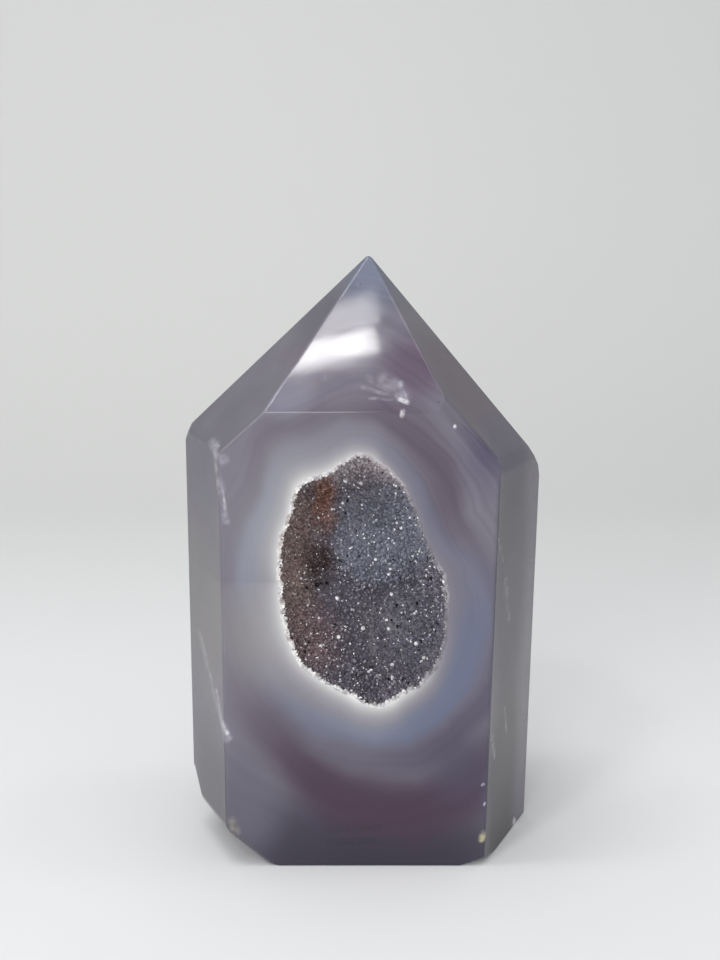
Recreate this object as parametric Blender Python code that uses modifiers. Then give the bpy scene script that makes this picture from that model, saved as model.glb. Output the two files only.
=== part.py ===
"""Druzy agate tower: a polished six-sided agate point with a crystal-lined hollow in its front face.

The stone stands on its ground base at z = 0. Its front face looks along -Y, +X is to the right of
someone facing that face, and +Z runs up to the tip.
"""

import math
import random

import bmesh
import bpy
from mathutils import Vector

MM = 0.001

# Tower: the ground side faces, as azimuth in degrees from the front face towards +X, the distance
# from the upright axis at half height, and the outward lean in degrees
HEIGHT = 80.0
FRONT_Y = -15.5
HALF_HEIGHT = 40.0
SIDE_FACES = {
    "front": (0.0, 15.5, 0.0),
    "front right": (66.5, 21.74, 1.1),
    "back right": (115.4, 22.0, 0.8),
    "back": (180.0, 15.5, 0.0),
    "back left": (-113.6, 20.9, 0.0),
    "front left": (-66.5, 22.72, 0.0),
}

# The top facets all pass through the tip: azimuth, and slope from the horizontal
TIP = (0.8, -0.5, HEIGHT)
TOP_FACETS = {
    "front": (0.0, 51.0),
    "front right": (68.7, 50.8),
    "back right": (107.4, 52.0),
    "back": (180.0, 50.0),
    "back left": (-116.0, 47.4),
    "front left": (-64.6, 45.2),
}

# The brows, where the grinding rolls over from a top facet to a side face: the top facet, the side
# face, and how deep the roll cuts in from their edge
BROWS = {
    "front brow": ("front right", "front", 0.75),
    "right brow": ("front right", "front right", 0.3),
    "rear brow": ("back right", "back right", 0.3),
}

# Corners that are ground away: azimuth, slope from the horizontal (over 90 looks down), a point on it.
# Edges that turn by more than the least angle are softened
CORNER_CUTS = {
    "left shoulder": (-90.0, 67.0, (-23.4, -3.0, 56.5)),
    "left foot": (-66.5, 136.8, (-18.0, FRONT_Y, 5.0)),
    "left heel": (-95.0, 113.0, (-23.0, -4.8, 6.2)),
    "right toe": (40.0, 150.0, (12.8, FRONT_Y, 0.0)),
}
EDGE_RADIUS = 0.5
EDGE_STEPS = 2
EDGE_LEAST_ANGLE = 8.0
BLOCK_SIZE = 200.0
ON_PLANE = 0.001

# Hollow: its outline on the front face, as x and z, from the top round by the right
HOLLOW_OUTLINE = [
    (-0.3, 56.0), (2.3, 54.7), (4.4, 52.8), (6.3, 49.7), (7.2, 47.2), (8.2, 44.4), (9.4, 42.2),
    (10.2, 40.3), (10.8, 35.0), (10.6, 31.8), (9.6, 28.5), (7.6, 25.7), (4.6, 24.1), (1.7, 22.6),
    (-1.5, 24.2), (-5.8, 26.5), (-8.1, 28.6), (-9.4, 31.5), (-10.4, 36.3), (-10.6, 40.0),
    (-10.2, 45.6), (-9.2, 48.3), (-8.0, 52.0), (-4.5, 53.6), (-2.4, 55.0),
]
HOLLOW_CENTRE = (0.0, 39.5)
HOLLOW_DEPTH = 10.0
MOUTH_REACH = 5.0

# The bowl's section: under 1 is fuller than a ball's, and the floor's middle lies right of and above
# the outline's; evening spreads the crystals the same over walls and floor
WALL_FULLNESS = 0.8
FLOOR_FULLNESS = 0.8
FLOOR_SHIFT = (1.2, 2.4)
EVENING = 0.07

# Rounded growths on the hollow's floor: centre x and z, radius across and up, and height
LOBES = [
    (1.4, 42.2, 6.4, 6.2, 4.2),
    (-5.6, 32.6, 4.2, 3.6, 1.5),
    (5.8, 31.0, 4.6, 4.4, 1.3),
]
LOBE_EDGE = 1.6

# Crust: its thickness and the gap to the stone behind it
CRUST_THICKNESS = 1.2
FIT_GAP = 0.3

# Crystals: how finely the ball that places them is divided, how far each one is moved along the wall,
# its least and most height, how deep it is rooted, and how far it leans
BALL_LEVEL = 3
BALL_CUTS = 2
CRYSTAL_JITTER = 0.03
CRYSTAL_HEIGHT = (0.45, 0.9)
CRYSTAL_ROOT_DEPTH = 0.12
CRYSTAL_LEAN = 0.2
CRYSTAL_SEED = 7


def downhill(azimuth, slope):
    """The unit normal of a face that looks towards an azimuth and slopes this much from the horizontal."""
    turn, tilt = math.radians(azimuth), math.radians(slope)
    return Vector((math.sin(turn) * math.sin(tilt), -math.cos(turn) * math.sin(tilt), math.cos(tilt)))


def side_plane(name):
    """A side face as a point on it and its outward normal."""
    azimuth, distance, lean = SIDE_FACES[name]
    return downhill(azimuth, 90) * distance + Vector((0, 0, HALF_HEIGHT)), downhill(azimuth, 90 + lean)


def top_plane(name):
    """A top facet as a point on it and its outward normal."""
    azimuth, slope = TOP_FACETS[name]
    return Vector(TIP), downhill(azimuth, slope)


def brow_plane(top, side, depth):
    """The plane halfway round the edge between a top facet and a side face, cut in by a depth."""
    (top_point, top_normal), (side_point, side_normal) = top_plane(top), side_plane(side)
    along = top_normal.cross(side_normal)
    on_edge = (
        side_normal.cross(along) * top_point.dot(top_normal)
        + along.cross(top_normal) * side_point.dot(side_normal)
    ) / along.length_squared
    normal = (top_normal + side_normal).normalized()
    return on_edge - normal * depth, normal


def grinding_planes():
    """Every ground face as a point on it and its outward normal, in millimetres."""
    planes = [(Vector((0, 0, 0)), Vector((0, 0, -1)))]
    planes += [side_plane(name) for name in SIDE_FACES]
    planes += [top_plane(name) for name in TOP_FACETS]
    planes += [brow_plane(*brow) for brow in BROWS.values()]
    for azimuth, slope, point in CORNER_CUTS.values():
        planes.append((Vector(point), downhill(azimuth, slope)))
    return planes


def ground_block():
    """The stone's plain form: a block with each face ground flat in turn."""
    bm = bmesh.new()
    bmesh.ops.create_cube(bm, size=BLOCK_SIZE * MM)
    for point, normal in grinding_planes():
        cut = bmesh.ops.bisect_plane(
            bm, geom=bm.verts[:] + bm.edges[:] + bm.faces[:], dist=ON_PLANE * MM,
            plane_co=point * MM, plane_no=normal, clear_outer=True,
        )
        edges = [item for item in cut["geom_cut"] if isinstance(item, bmesh.types.BMEdge)]
        if edges:
            bmesh.ops.edgeloop_fill(bm, edges=edges)
    bmesh.ops.recalc_face_normals(bm, faces=bm.faces[:])
    return bm


def outline_radius(angle):
    """How far the hollow's outline is from its centre at an angle, on a smooth curve through its points."""
    polar = []
    for x, z in HOLLOW_OUTLINE:
        dx, dz = x - HOLLOW_CENTRE[0], z - HOLLOW_CENTRE[1]
        polar.append((math.atan2(dz, dx) % math.tau, math.hypot(dx, dz)))
    polar.sort()
    count = len(polar)
    angle %= math.tau
    after = next((i for i, (a, _) in enumerate(polar) if a > angle), 0)
    knots = [polar[(after + step) % count] for step in (-2, -1, 0, 1)]
    (a0, r0), (a1, r1), (a2, r2), (a3, r3) = knots
    gap = (a2 - a1) % math.tau
    t = ((angle - a1) % math.tau) / gap
    slope1 = (r2 - r0) / ((a2 - a0) % math.tau) * gap
    slope2 = (r3 - r1) / ((a3 - a1) % math.tau) * gap
    return (
        r1 * (2 * t**3 - 3 * t**2 + 1) + slope1 * (t**3 - 2 * t**2 + t)
        + r2 * (3 * t**2 - 2 * t**3) + slope2 * (t**3 - t**2)
    )


def lobe_height(x, z):
    """How far the rounded growths stand up from the hollow's floor at a place."""
    total = 0.0
    for centre_x, centre_z, across, up, height in LOBES:
        reach = math.hypot((x - centre_x) / across, (z - centre_z) / up)
        total += height * math.exp(-(reach ** (2 * LOBE_EDGE)))
    return total


def hollow_point(direction):
    """The place on the hollow's wall for a direction on the lower half of a unit ball."""
    angle = math.atan2(direction.y, direction.x)
    tilt = math.acos(max(0.0, min(1.0, -direction.z)))
    tilt -= EVENING * math.sin(4 * tilt)
    spread = math.sin(tilt) ** WALL_FULLNESS
    deep = max(0.0, math.cos(tilt)) ** FLOOR_FULLNESS
    radius = outline_radius(angle) * spread
    x = HOLLOW_CENTRE[0] + radius * math.cos(angle) + FLOOR_SHIFT[0] * (1 - spread)
    z = HOLLOW_CENTRE[1] + radius * math.sin(angle) + FLOOR_SHIFT[1] * (1 - spread)
    return Vector((x, FRONT_Y + HOLLOW_DEPTH * deep - lobe_height(x, z) * deep, z)) * MM


def hollow_surface():
    """The hollow's wall as an open sheet whose rim lies in the front face and whose faces look outward."""
    bm = bmesh.new()
    bmesh.ops.create_icosphere(bm, subdivisions=BALL_LEVEL, radius=1.0)
    bmesh.ops.subdivide_edges(bm, edges=bm.edges[:], cuts=BALL_CUTS, use_grid_fill=True)
    upper = [face for face in bm.faces if face.calc_center_median().z > 0]
    bmesh.ops.delete(bm, geom=upper, context="FACES")
    chance = random.Random(CRYSTAL_SEED)
    for vert in bm.verts:
        direction = vert.co.normalized()
        if vert.is_boundary:
            direction.z = 0
        else:
            direction += Vector([chance.uniform(-1, 1) for _ in range(3)]) * CRYSTAL_JITTER
        vert.co = hollow_point(direction.normalized())
    bmesh.ops.recalc_face_normals(bm, faces=bm.faces[:])
    if max(bm.faces, key=lambda face: face.calc_center_median().y).normal.y < 0:
        bmesh.ops.reverse_faces(bm, faces=bm.faces[:])
    bm.normal_update()
    return bm


def offset_places(bm, distance):
    """Each vertex's place after moving out by a distance; the rim's stay in the front face."""
    places = {}
    for vert in bm.verts:
        normal = vert.normal.copy()
        if vert.is_boundary:
            normal.y = 0
            normal.normalize()
        places[vert] = vert.co + normal * distance
    return places


def add_backing(bm, thickness):
    """Closes the sheet into a shell with a smooth back, and returns the shell's front faces."""
    places = offset_places(bm, thickness)
    front = bm.faces[:]
    rim = [edge for edge in bm.edges if edge.is_boundary]
    back = bmesh.ops.duplicate(bm, geom=bm.verts[:] + bm.edges[:] + bm.faces[:])["vert_map"]
    for vert, place in places.items():
        back[vert].co = place
    for edge in rim:
        start, end = edge.verts
        bm.faces.new((start, end, back[end], back[start]))
    return front


def grow_crystals(bm, front):
    """Turns the front faces into six-sided crystal points, one on each of their inner corners."""
    chance = random.Random(CRYSTAL_SEED)
    members = set(front)
    edges = [edge for edge in bm.edges if len(edge.link_faces) == 2 and members.issuperset(edge.link_faces)]
    tips = [vert for vert in bm.verts if members.issuperset(vert.link_faces)]
    towards_opening = {vert: -vert.normal.copy() for vert in tips}
    bmesh.ops.poke(bm, faces=front, offset=CRYSTAL_ROOT_DEPTH * MM)
    bmesh.ops.rotate_edges(bm, edges=edges, use_ccw=False)
    for vert in tips:
        lean = Vector([chance.uniform(-1, 1) for _ in range(3)]) * CRYSTAL_LEAN
        height = chance.uniform(*CRYSTAL_HEIGHT)
        vert.co += (towards_opening[vert] + lean) * height * MM


def stone_material():
    """Polished grey-lavender agate."""
    material = bpy.data.materials.new("polished_agate")
    material.use_nodes = True
    shader = material.node_tree.nodes["Principled BSDF"]
    shader.inputs["Base Color"].default_value = (0.21, 0.19, 0.25, 1)
    shader.inputs["Roughness"].default_value = 0.12
    shader.inputs["Metallic"].default_value = 0.0
    return material


def crystal_material():
    """Sparkling grey-mauve quartz druse."""
    material = bpy.data.materials.new("quartz_druse")
    material.use_nodes = True
    shader = material.node_tree.nodes["Principled BSDF"]
    shader.inputs["Base Color"].default_value = (0.14, 0.11, 0.13, 1)
    shader.inputs["Roughness"].default_value = 0.2
    shader.inputs["Metallic"].default_value = 0.0
    return material


def make_object(name, bm, collection, material=None):
    """Puts a finished bmesh into an object of its own."""
    mesh = bpy.data.meshes.new(name)
    bm.to_mesh(mesh)
    bm.free()
    item = bpy.data.objects.new(name, mesh)
    collection.objects.link(item)
    if material:
        mesh.materials.append(material)
    return item


def hollow_cutter(collection):
    """The space that the crust fills with its gap, run out through the front face."""
    bm = hollow_surface()
    for vert, place in offset_places(bm, (CRUST_THICKNESS + FIT_GAP) * MM).items():
        vert.co = place
    rim = [edge for edge in bm.edges if edge.is_boundary]
    ahead = bmesh.ops.extrude_edge_only(bm, edges=rim)["geom"]
    for vert in [item for item in ahead if isinstance(item, bmesh.types.BMVert)]:
        vert.co.y = (FRONT_Y - MOUTH_REACH) * MM
    mouth = [edge for edge in bm.edges if edge.is_boundary]
    bmesh.ops.edgeloop_fill(bm, edges=mouth)
    bmesh.ops.recalc_face_normals(bm, faces=bm.faces[:])
    cutter = make_object("hollow_cutter", bm, collection)
    cutter.hide_render = True
    cutter.display_type = "WIRE"
    return cutter


def build_tower(parts, cutters):
    """The polished stone, with soft edges and the hollow cut into its front face."""
    tower = make_object("agate_tower", ground_block(), parts, stone_material())
    soften = tower.modifiers.new("soft edges", "BEVEL")
    soften.width = EDGE_RADIUS * MM
    soften.segments = EDGE_STEPS
    soften.limit_method = "ANGLE"
    soften.angle_limit = math.radians(EDGE_LEAST_ANGLE)
    cut = tower.modifiers.new("hollow", "BOOLEAN")
    cut.operation = "DIFFERENCE"
    cut.solver = "EXACT"
    cut.object = hollow_cutter(cutters)
    return tower


def build_crust(parts):
    """The crystal lining, a gap of FIT_GAP off the stone behind it."""
    bm = hollow_surface()
    front = add_backing(bm, CRUST_THICKNESS * MM)
    grow_crystals(bm, front)
    bmesh.ops.recalc_face_normals(bm, faces=bm.faces[:])
    return make_object("druzy_crust", bm, parts, crystal_material())


def new_collection(name):
    """A collection linked to the scene."""
    collection = bpy.data.collections.new(name)
    bpy.context.scene.collection.children.link(collection)
    return collection


def main():
    for item in list(bpy.data.objects):
        bpy.data.objects.remove(item, do_unlink=True)
    parts = new_collection("druzy_agate_tower")
    cutters = new_collection("cutters")
    build_tower(parts, cutters)
    build_crust(parts)


main()
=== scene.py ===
"""Looks of the druzy agate tower: polished banded agate round a hollow lined with quartz crystals."""

import math
import random

import bmesh
import bpy
from mathutils import Matrix, Vector, noise


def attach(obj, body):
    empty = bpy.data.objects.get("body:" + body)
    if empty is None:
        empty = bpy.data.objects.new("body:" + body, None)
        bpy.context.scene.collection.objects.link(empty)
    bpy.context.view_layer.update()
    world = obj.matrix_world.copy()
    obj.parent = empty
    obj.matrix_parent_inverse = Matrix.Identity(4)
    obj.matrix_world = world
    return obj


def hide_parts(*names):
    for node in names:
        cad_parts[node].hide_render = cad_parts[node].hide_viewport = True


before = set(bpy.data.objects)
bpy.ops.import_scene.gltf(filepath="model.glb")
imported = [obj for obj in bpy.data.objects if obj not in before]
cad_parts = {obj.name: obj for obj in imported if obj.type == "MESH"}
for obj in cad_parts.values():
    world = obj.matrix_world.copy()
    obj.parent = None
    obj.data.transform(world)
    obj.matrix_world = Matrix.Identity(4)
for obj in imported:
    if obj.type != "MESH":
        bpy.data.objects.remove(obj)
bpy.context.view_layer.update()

MM = 0.001

# Tower: the ground side faces, as azimuth in degrees from the front face towards +X, the distance
# from the upright axis at half height, and the outward lean in degrees
HEIGHT = 80.0
FRONT_Y = -15.5
HALF_HEIGHT = 40.0
SIDE_FACES = {
    "front": (0.0, 15.5, 0.0),
    "front right": (66.5, 21.74, 1.1),
    "back right": (115.4, 22.0, 0.8),
    "back": (180.0, 15.5, 0.0),
    "back left": (-113.6, 20.9, 0.0),
    "front left": (-66.5, 22.72, 0.0),
}

# The top facets all pass through the tip: azimuth, and slope from the horizontal
TIP = (0.8, -0.5, HEIGHT)
TOP_FACETS = {
    "top front": (0.0, 51.0),
    "top front right": (68.7, 50.8),
    "top back right": (107.4, 52.0),
    "top back": (180.0, 50.0),
    "top back left": (-116.0, 47.4),
    "top front left": (-64.6, 45.2),
}

# The brows, where the grinding rolls over from a top facet to a side face: the top facet, the side
# face, and how deep the roll cuts in from their edge
BROWS = {
    "front brow": ("top front right", "front", 0.75),
    "right brow": ("top front right", "front right", 0.3),
    "rear brow": ("top back right", "back right", 0.3),
}

# Corners that are ground away: azimuth, slope from the horizontal (over 90 looks down), a point on it
CORNER_CUTS = {
    "left shoulder": (-90.0, 67.0, (-23.4, -3.0, 56.5)),
    "left foot": (-66.5, 136.8, (-18.0, FRONT_Y, 5.0)),
    "left heel": (-95.0, 113.0, (-23.0, -4.8, 6.2)),
    "right toe": (40.0, 150.0, (12.8, FRONT_Y, 0.0)),
}

# The block that the stone is ground out of, and how near to a plane counts as on it
BLOCK_SIZE = 200.0
ON_PLANE = 0.001

# Edges: how far the polish rounds them, with those that differ by name, how many steps a roll has, the
# least angle that is rolled, the angle over which shading breaks, and how far large faces keep flat
EDGE_ROLL = 0.22
WIDEST_ROLL = 1.2
EDGE_ROLLS = {
    ("top front", "top front left"): 0.3,
    ("top front right", "front brow"): 0.5,
    ("front", "front brow"): 0.3,
    ("top front right", "right brow"): 0.4,
    ("front right", "right brow"): 0.4,
    ("top back right", "rear brow"): 0.4,
    ("back right", "rear brow"): 0.4,
    ("top front", "front"): 0.2,
    ("front", "front left"): 0.45,
    ("front", "front right"): 0.45,
    ("left foot", "left heel"): 1.2,
    ("left foot", "front left"): 1.0,
    ("left foot", "front"): 0.9,
    ("left foot", "base"): 1.2,
    ("left heel", "front left"): 1.0,
    ("left heel", "base"): 0.8,
    ("left shoulder", "top front left"): 0.5,
    ("left shoulder", "front left"): 0.5,
}
EDGE_STEPS = 5
EDGE_LEAST_ANGLE = 8.0
SHARP_ANGLE = 35.0
FLATNESS = 100

# Hollow: its outline on the front face, as x and z, from the top round by the right
HOLLOW_OUTLINE = [
    (-0.3, 56.0), (2.3, 54.7), (4.4, 52.8), (6.3, 49.7), (7.2, 47.2), (8.2, 44.4), (9.4, 42.2),
    (10.2, 40.3), (10.8, 35.0), (10.6, 31.8), (9.6, 28.5), (7.6, 25.7), (4.6, 24.1), (1.7, 22.6),
    (-1.5, 24.2), (-5.8, 26.5), (-8.1, 28.6), (-9.4, 31.5), (-10.4, 36.3), (-10.6, 40.0),
    (-10.2, 45.6), (-9.2, 48.3), (-8.0, 52.0), (-4.5, 53.6), (-2.4, 55.0),
]
HOLLOW_CENTRE = (0.0, 39.5)
HOLLOW_DEPTH = 10.0

# The bowl's section: under 1 is fuller than a ball's, and the floor's middle lies right of and above
# the outline's; evening spreads the crystals the same over walls and floor
WALL_FULLNESS = 0.8
FLOOR_FULLNESS = 0.8
FLOOR_SHIFT = (1.2, 2.4)
EVENING = 0.07

# Rounded growths on the hollow's floor: centre x and z, radius across and up, and height
LOBES = [
    (1.4, 42.2, 6.4, 6.2, 4.2),
    (-5.6, 32.6, 4.2, 3.6, 1.5),
    (5.8, 31.0, 4.6, 4.4, 1.3),
]
LOBE_EDGE = 1.6

# The rim's ragged line: how far it strays, the lengths of its two waves, and how fast it dies inward
RAGGED_REACH = 0.22
RAGGED_WAVES = (1.7, 0.6)
RAGGED_FADE = 10

# Crystal bed: how finely it is divided round and down, how finely the stone's wall behind it is divided
# down, its thickness, and its coarse unevenness
BED_ROUND = 480
BED_DOWN = 60
POCKET_DOWN = 24
BED_THICKNESS = 0.3
BED_UNEVEN = 0.05
BED_UNEVEN_SIZE = 1.1

# Crystals: how finely the ball that places them is divided, how far each strays, its least and most
# radius and height, how deep it is rooted, how far it leans, and the share of its height in its point
BALL_LEVEL = 3
BALL_CUTS = 9
CRYSTAL_STRAY = 0.013
CRYSTAL_RADIUS = (0.2, 0.31)
CRYSTAL_HEIGHT = (0.24, 0.56)
CRYSTAL_ROOT = 0.15
CRYSTAL_LEAN = 0.7
CRYSTAL_POINT = 0.62
CRYSTAL_SIDES = 6
CRYSTAL_SEED = 12

# How crystals differ: the spread of their points' heights and of their corners' reach, and how far the
# tip strays as a share of the radius
POINT_SPREAD = (0.8, 1.2)
CORNER_SPREAD = (0.85, 1.1)
TIP_STRAY = 0.25

# The share of crystals painted white all over as glints, the share of the others' faces painted white so,
# and how far behind the ground face every crystal stays
PAINTED_GLINT_SHARE = 0.014
PAINTED_GLINT_FACETS = 0.02
GROUND_FLUSH = 0.03


def downhill(azimuth, slope):
    """The unit normal of a face that looks towards an azimuth and slopes this much from the horizontal."""
    turn, tilt = math.radians(azimuth), math.radians(slope)
    return Vector((math.sin(turn) * math.sin(tilt), -math.cos(turn) * math.sin(tilt), math.cos(tilt)))


def side_plane(name):
    """A side face as a point on it and its outward normal."""
    azimuth, distance, lean = SIDE_FACES[name]
    return downhill(azimuth, 90) * distance + Vector((0, 0, HALF_HEIGHT)), downhill(azimuth, 90 + lean)


def top_plane(name):
    """A top facet as a point on it and its outward normal."""
    azimuth, slope = TOP_FACETS[name]
    return Vector(TIP), downhill(azimuth, slope)


def brow_plane(top, side, depth):
    """The plane halfway round the edge between a top facet and a side face, cut in by a depth."""
    (top_point, top_normal), (side_point, side_normal) = top_plane(top), side_plane(side)
    along = top_normal.cross(side_normal)
    on_edge = (
        side_normal.cross(along) * top_point.dot(top_normal)
        + along.cross(top_normal) * side_point.dot(side_normal)
    ) / along.length_squared
    normal = (top_normal + side_normal).normalized()
    return on_edge - normal * depth, normal


def grinding_planes():
    """Every ground face by name, as a point on it and its outward normal, in millimetres."""
    planes = {"base": (Vector((0, 0, 0)), Vector((0, 0, -1)))}
    planes.update({name: side_plane(name) for name in SIDE_FACES})
    planes.update({name: top_plane(name) for name in TOP_FACETS})
    planes.update({name: brow_plane(*brow) for name, brow in BROWS.items()})
    for name, (azimuth, slope, point) in CORNER_CUTS.items():
        planes[name] = (Vector(point), downhill(azimuth, slope))
    return planes


def face_name(face, planes):
    """The name of the ground face that a mesh face is part of."""
    place = face.calc_center_median() / MM

    def distance(name):
        point, normal = planes[name]
        return abs((place - point).dot(normal)) + (face.normal - normal).length
    return min(planes, key=distance)


def ground_block():
    """The stone's plain form, ground flat face by face, with each edge's share of the widest roll."""
    planes = grinding_planes()
    bm = bmesh.new()
    bmesh.ops.create_cube(bm, size=BLOCK_SIZE * MM)
    for point, normal in planes.values():
        cut = bmesh.ops.bisect_plane(
            bm, geom=bm.verts[:] + bm.edges[:] + bm.faces[:], dist=ON_PLANE * MM,
            plane_co=point * MM, plane_no=normal, clear_outer=True,
        )
        edges = [item for item in cut["geom_cut"] if isinstance(item, bmesh.types.BMEdge)]
        if edges:
            bmesh.ops.edgeloop_fill(bm, edges=edges)
    bmesh.ops.recalc_face_normals(bm, faces=bm.faces[:])
    bm.normal_update()
    weight = bm.edges.layers.float.new("bevel_weight_edge")
    rolls = {frozenset(pair): roll for pair, roll in EDGE_ROLLS.items()}
    for edge in bm.edges:
        if edge.calc_face_angle() > math.radians(EDGE_LEAST_ANGLE):
            pair = frozenset(face_name(face, planes) for face in edge.link_faces)
            edge[weight] = rolls.get(pair, EDGE_ROLL) / WIDEST_ROLL
    return bm


def polar_outline():
    """The outline's points as angle and distance from its centre, in order of angle."""
    polar = []
    for x, z in HOLLOW_OUTLINE:
        dx, dz = x - HOLLOW_CENTRE[0], z - HOLLOW_CENTRE[1]
        polar.append((math.atan2(dz, dx) % math.tau, math.hypot(dx, dz)))
    return sorted(polar)


POLAR_OUTLINE = polar_outline()


def outline_radius(angle):
    """How far the hollow's outline is from its centre at an angle, on a smooth curve through its points."""
    polar = POLAR_OUTLINE
    count = len(polar)
    angle %= math.tau
    after = next((i for i, (a, _) in enumerate(polar) if a > angle), 0)
    knots = [polar[(after + step) % count] for step in (-2, -1, 0, 1)]
    (a0, r0), (a1, r1), (a2, r2), (a3, r3) = knots
    gap = (a2 - a1) % math.tau
    t = ((angle - a1) % math.tau) / gap
    slope1 = (r2 - r0) / ((a2 - a0) % math.tau) * gap
    slope2 = (r3 - r1) / ((a3 - a1) % math.tau) * gap
    return (
        r1 * (2 * t**3 - 3 * t**2 + 1) + slope1 * (t**3 - 2 * t**2 + t)
        + r2 * (3 * t**2 - 2 * t**3) + slope2 * (t**3 - t**2)
    )


def lobe_height(x, z):
    """How far the rounded growths stand up from the hollow's floor at a place."""
    total = 0.0
    for centre_x, centre_z, across, up, height in LOBES:
        reach = math.hypot((x - centre_x) / across, (z - centre_z) / up)
        total += height * math.exp(-(reach ** (2 * LOBE_EDGE)))
    return total


def raggedness(angle, radius):
    """How far the rim strays from its smooth line at an angle."""
    place = Vector((math.cos(angle), math.sin(angle), 0)) * radius
    return RAGGED_REACH * sum(noise.noise(place / wave) for wave in RAGGED_WAVES)


def hollow_point(direction, swell=0.0):
    """The place on the hollow's wall, or this far behind it, for a direction on a unit ball's lower half."""
    angle = math.atan2(direction.y, direction.x)
    tilt = math.acos(max(0.0, min(1.0, -direction.z)))
    tilt -= EVENING * math.sin(4 * tilt)
    spread = math.sin(tilt) ** WALL_FULLNESS
    deep = max(0.0, math.cos(tilt)) ** FLOOR_FULLNESS
    outline = outline_radius(angle)
    radius = (outline + swell) * spread + raggedness(angle, outline) * spread**RAGGED_FADE
    x = HOLLOW_CENTRE[0] + radius * math.cos(angle) + FLOOR_SHIFT[0] * (1 - spread)
    z = HOLLOW_CENTRE[1] + radius * math.sin(angle) + FLOOR_SHIFT[1] * (1 - spread)
    return Vector((x, FRONT_Y + (HOLLOW_DEPTH + swell - lobe_height(x, z)) * deep, z)) * MM


def lower_half(bm, swell=0.0, chance=None):
    """Keeps a ball's lower half and maps it to the hollow's wall, with its faces looking into the stone."""
    upper = [face for face in bm.faces if face.calc_center_median().z > 0]
    bmesh.ops.delete(bm, geom=upper, context="FACES")
    for vert in bm.verts:
        direction = vert.co.normalized()
        if vert.is_boundary:
            direction.z = 0
        elif chance:
            direction += Vector([chance.uniform(-1, 1) for _ in range(3)]) * CRYSTAL_STRAY
        vert.co = hollow_point(direction.normalized(), swell)
    bmesh.ops.recalc_face_normals(bm, faces=bm.faces[:])
    if max(bm.faces, key=lambda face: face.calc_center_median().y).normal.y < 0:
        bmesh.ops.reverse_faces(bm, faces=bm.faces[:])
    bm.normal_update()
    return bm


def hollow_sheet(down, swell=0.0):
    """The hollow's wall, or this far behind it, as a fine sheet divided this often from rim to floor."""
    bm = bmesh.new()
    bmesh.ops.create_uvsphere(bm, u_segments=BED_ROUND, v_segments=2 * down, radius=1.0)
    return lower_half(bm, swell)


def crystal_places():
    """Where each crystal stands, as its place and its direction out of the wall."""
    bm = bmesh.new()
    bmesh.ops.create_icosphere(bm, subdivisions=BALL_LEVEL, radius=1.0)
    bmesh.ops.subdivide_edges(bm, edges=bm.edges[:], cuts=BALL_CUTS, use_grid_fill=True)
    lower_half(bm, chance=random.Random(CRYSTAL_SEED))
    places = [(vert.co.copy(), -vert.normal) for vert in bm.verts]
    bm.free()
    return places


def link_object(name, content):
    """Puts a mesh, a lamp or a camera into the scene as an object of its own."""
    item = bpy.data.objects.new(name, content)
    bpy.context.scene.collection.objects.link(item)
    return item


def make_object(name, bm):
    """Puts a finished bmesh into an object of its own."""
    mesh = bpy.data.meshes.new(name)
    bm.to_mesh(mesh)
    bm.free()
    return link_object(name, mesh)


def smooth_shading(item):
    """Shades an object's mesh smooth, apart from its sharp edges."""
    item.data.shade_smooth()
    item.data.set_sharp_from_angle(angle=math.radians(SHARP_ANGLE))


def settle(item):
    """Replaces an object's mesh by what its modifiers make of it."""
    evaluated = item.evaluated_get(bpy.context.evaluated_depsgraph_get())
    mesh = bpy.data.meshes.new_from_object(evaluated)
    item.modifiers.clear()
    item.data = mesh


def open_hollow(stone):
    """Opens the hollow's mouth in the front face and lines it with the wall behind the crystal bed."""
    bm = bmesh.new()
    bm.from_mesh(stone.data)
    front = max(bm.faces, key=lambda face: -face.normal.y * face.calc_area())
    border = front.edges[:]
    bmesh.ops.delete(bm, geom=[front], context="FACES_ONLY")
    wall = hollow_sheet(POCKET_DOWN, BED_THICKNESS)
    lining = bpy.data.meshes.new("lining")
    wall.to_mesh(lining)
    wall.free()
    own = set(bm.edges)
    bm.from_mesh(lining)
    bpy.data.meshes.remove(lining)
    rim = [edge for edge in bm.edges if edge not in own and edge.is_boundary]
    bmesh.ops.triangle_fill(bm, edges=border + rim, use_beauty=True)
    bmesh.ops.recalc_face_normals(bm, faces=bm.faces[:])
    bm.to_mesh(stone.data)
    bm.free()


def build_stone():
    """The polished stone, with rolled edges and the hollow opened in its front face."""
    stone = make_object("polished_stone", ground_block())
    roll = stone.modifiers.new("rolled edges", "BEVEL")
    roll.width = WIDEST_ROLL * MM
    roll.segments = EDGE_STEPS
    roll.limit_method = "WEIGHT"
    settle(stone)
    open_hollow(stone)
    smooth_shading(stone)
    flatten = stone.modifiers.new("flat faces", "WEIGHTED_NORMAL")
    flatten.keep_sharp = True
    flatten.weight = FLATNESS
    return stone


def build_bed():
    """The thin rough skin of quartz that the crystals stand on, closed behind."""
    bm = hollow_sheet(BED_DOWN)
    behind = hollow_sheet(BED_DOWN, BED_THICKNESS)
    rim = [edge for edge in bm.edges if edge.is_boundary]
    front = bm.verts[:]
    back = bmesh.ops.duplicate(bm, geom=front + bm.edges[:] + bm.faces[:])["vert_map"]
    for vert, hidden in zip(front, behind.verts):
        back[vert].co = hidden.co
        if not vert.is_boundary:
            rough = noise.noise(vert.co / (BED_UNEVEN_SIZE * MM))
            vert.co -= vert.normal * rough * BED_UNEVEN * MM
    behind.free()
    for edge in rim:
        start, end = edge.verts
        bm.faces.new((start, end, back[end], back[start]))
    bmesh.ops.recalc_face_normals(bm, faces=bm.faces[:])
    bed = make_object("crystal_bed", bm)
    smooth_shading(bed)
    return bed


def between(limits, share):
    """The value that is this share of the way from the first limit to the second."""
    low, high = limits
    return low + (high - low) * share


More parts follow.
